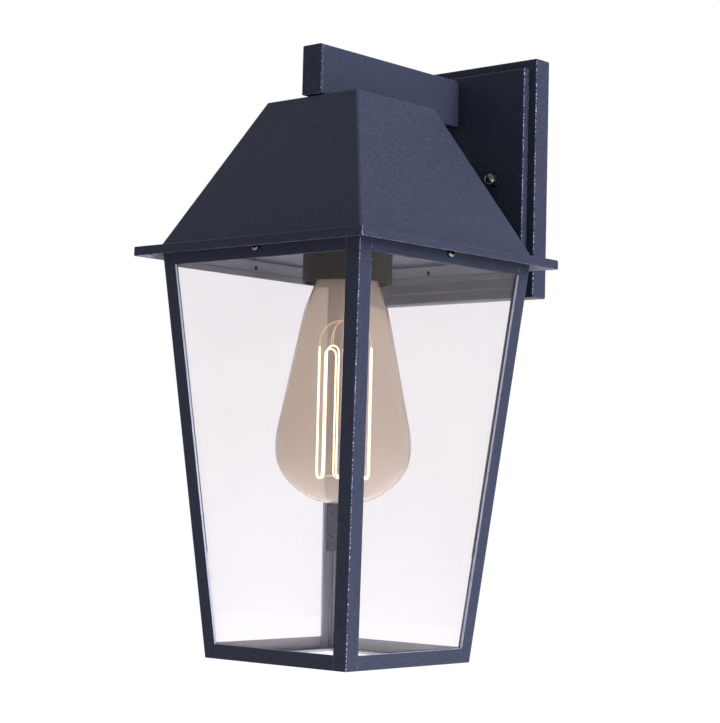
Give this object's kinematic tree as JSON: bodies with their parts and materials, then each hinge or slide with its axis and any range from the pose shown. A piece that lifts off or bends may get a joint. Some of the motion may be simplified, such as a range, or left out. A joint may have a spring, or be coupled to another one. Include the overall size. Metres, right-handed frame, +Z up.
{
  "type": "outdoor wall lantern",
  "caption": "Wall lantern with a tapered glass cage under a pyramid roof, hung from a rectangular arm on a stepped wall plate, with a pear-shaped filament bulb.",
  "frame": {"origin": "middle of the wall plate's back, on the wall and between the two box screws", "axes": "+Z up, +Y into the wall so the lantern stands out along -Y, +X to the right of someone facing the wall"},
  "size_m": [0.1466, 0.1632, 0.2995],
  "materials": {
    "charcoal_powder_coat": "fine-textured matt powder coat",
    "black_fastener": "semi-gloss black",
    "zinc_plated_steel": "bright zinc plate",
    "green_ground_paint": "green lacquer",
    "bronze_cover_paint": "satin dark bronze",
    "socket_porcelain": "white glaze",
    "socket_brass": "stamped",
    "pane_clear_glass": "clear float glass",
    "bulb_tinted_glass": "clear with a warm tint",
    "bulb_stem_glass": "clear pressed glass",
    "bulb_cap_aluminium": "spun",
    "bulb_black_glass": "black vitrite",
    "solder": "solder",
    "glowing_filament": "glowing wire",
    "support_wire": "copper-clad wire",
    "black_lead_jacket": "insulation",
    "white_lead_jacket": "insulation",
    "connector_plastic": "moulded"
  },
  "bodies": {
    "lantern": {"arm_end_cap": "charcoal_powder_coat", "arm_spacer": "black_fastener", "arm_tube": "charcoal_powder_coat", "bottom_rail_front": "charcoal_powder_coat", "bottom_rail_left": "charcoal_powder_coat", "bottom_rail_rear": "charcoal_powder_coat", "bottom_rail_right": "charcoal_powder_coat", "brim": "charcoal_powder_coat", "cage_screws": "black_fastener", "ground_screw": "green_ground_paint", "lamp_nipple": "zinc_plated_steel", "lead_live": "black_lead_jacket", "lead_neutral": "white_lead_jacket", "leg_front_left": "charcoal_powder_coat", "leg_front_right": "charcoal_powder_coat", "leg_rear_left": "charcoal_powder_coat", "leg_rear_right": "charcoal_powder_coat", "mounting_crossbar": "zinc_plated_steel", "mounting_studs": "zinc_plated_steel", "nipple_nuts": "zinc_plated_steel", "nipple_washers": "zinc_plated_steel", "pane_front": "pane_clear_glass", "pane_left": "pane_clear_glass", "pane_rear": "pane_clear_glass", "pane_right": "pane_clear_glass", "retainer_front_left": "charcoal_powder_coat", "retainer_front_right": "charcoal_powder_coat", "retainer_rear_left": "charcoal_powder_coat", "retainer_rear_right": "charcoal_powder_coat", "roof_shell": "charcoal_powder_coat", "socket_body": "socket_porcelain", "socket_contact": "socket_brass", "socket_cover": "bronze_cover_paint", "socket_screws": "zinc_plated_steel", "socket_shell": "socket_brass", "socket_strap": "zinc_plated_steel", "stud_lock_nuts": "zinc_plated_steel", "top_rail_front": "charcoal_powder_coat", "top_rail_left": "charcoal_powder_coat", "top_rail_rear": "charcoal_powder_coat", "top_rail_right": "charcoal_powder_coat", "wall_plate": "charcoal_powder_coat", "wire_connectors": "connector_plastic"},
    "bulb": {"bulb_glass": "bulb_tinted_glass", "bulb_cap": "bulb_cap_aluminium", "bulb_insulator": "bulb_black_glass", "bulb_contact": "solder", "bulb_stem": "bulb_stem_glass", "bulb_filament": "glowing_filament", "filament_supports": "support_wire"},
    "cap_nut_left": {"cap_nut_left": "black_fastener"},
    "cap_nut_right": {"cap_nut_right": "black_fastener"}
  },
  "joints": [
    {"name": "bulb_turn", "type": "hinge", "parent": "lantern", "child": "bulb", "pos_m": [0, -0.09, -0.0438], "axis": [0, 0, 1], "continuous": true},
    {"name": "cap_nut_left_turn", "type": "hinge", "parent": "lantern", "child": "cap_nut_left", "pos_m": [-0.0305, -0.0141, 0], "axis": [0, -1, 0], "continuous": true},
    {"name": "cap_nut_right_turn", "type": "hinge", "parent": "lantern", "child": "cap_nut_right", "pos_m": [0.0305, -0.0141, 0], "axis": [0, -1, 0], "continuous": true}
  ]
}
